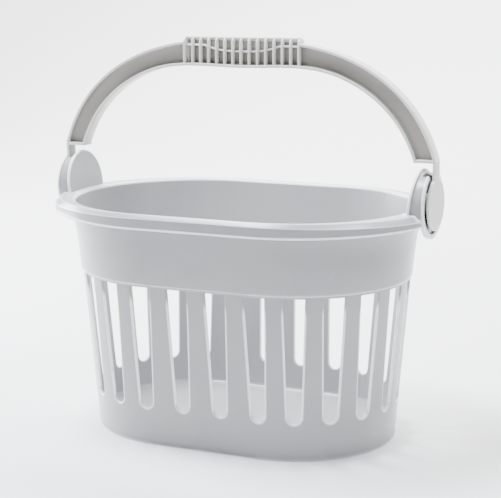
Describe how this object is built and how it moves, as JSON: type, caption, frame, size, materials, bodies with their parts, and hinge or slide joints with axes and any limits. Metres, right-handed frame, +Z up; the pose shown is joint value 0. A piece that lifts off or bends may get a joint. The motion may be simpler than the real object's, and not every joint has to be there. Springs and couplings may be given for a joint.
{
  "type": "shower basket",
  "caption": "Oval slotted plastic shower basket with a turned-down rim, round pivot ears and a swinging arched carry handle with a ribbed grip.",
  "frame": {"origin": "centre of the foot ring on the ground plane", "axes": "+Z up, +X along the length through both handle pivots, -Y towards the front"},
  "size_m": [0.3102, 0.1968, 0.305],
  "materials": {
    "basket": "injection-moulded polypropylene, light cool grey, satin",
    "handle": "injection-moulded polypropylene, warm grey, satin"
  },
  "bodies": {
    "basket": {"basket": "basket"},
    "handle": {"handle": "handle"}
  },
  "joints": [
    {"name": "handle_hinge", "type": "hinge", "parent": "basket", "child": "handle", "pos_m": [0, 0, 0.1857], "axis": [1, 0, 0], "range_deg": [-87, 87]}
  ]
}
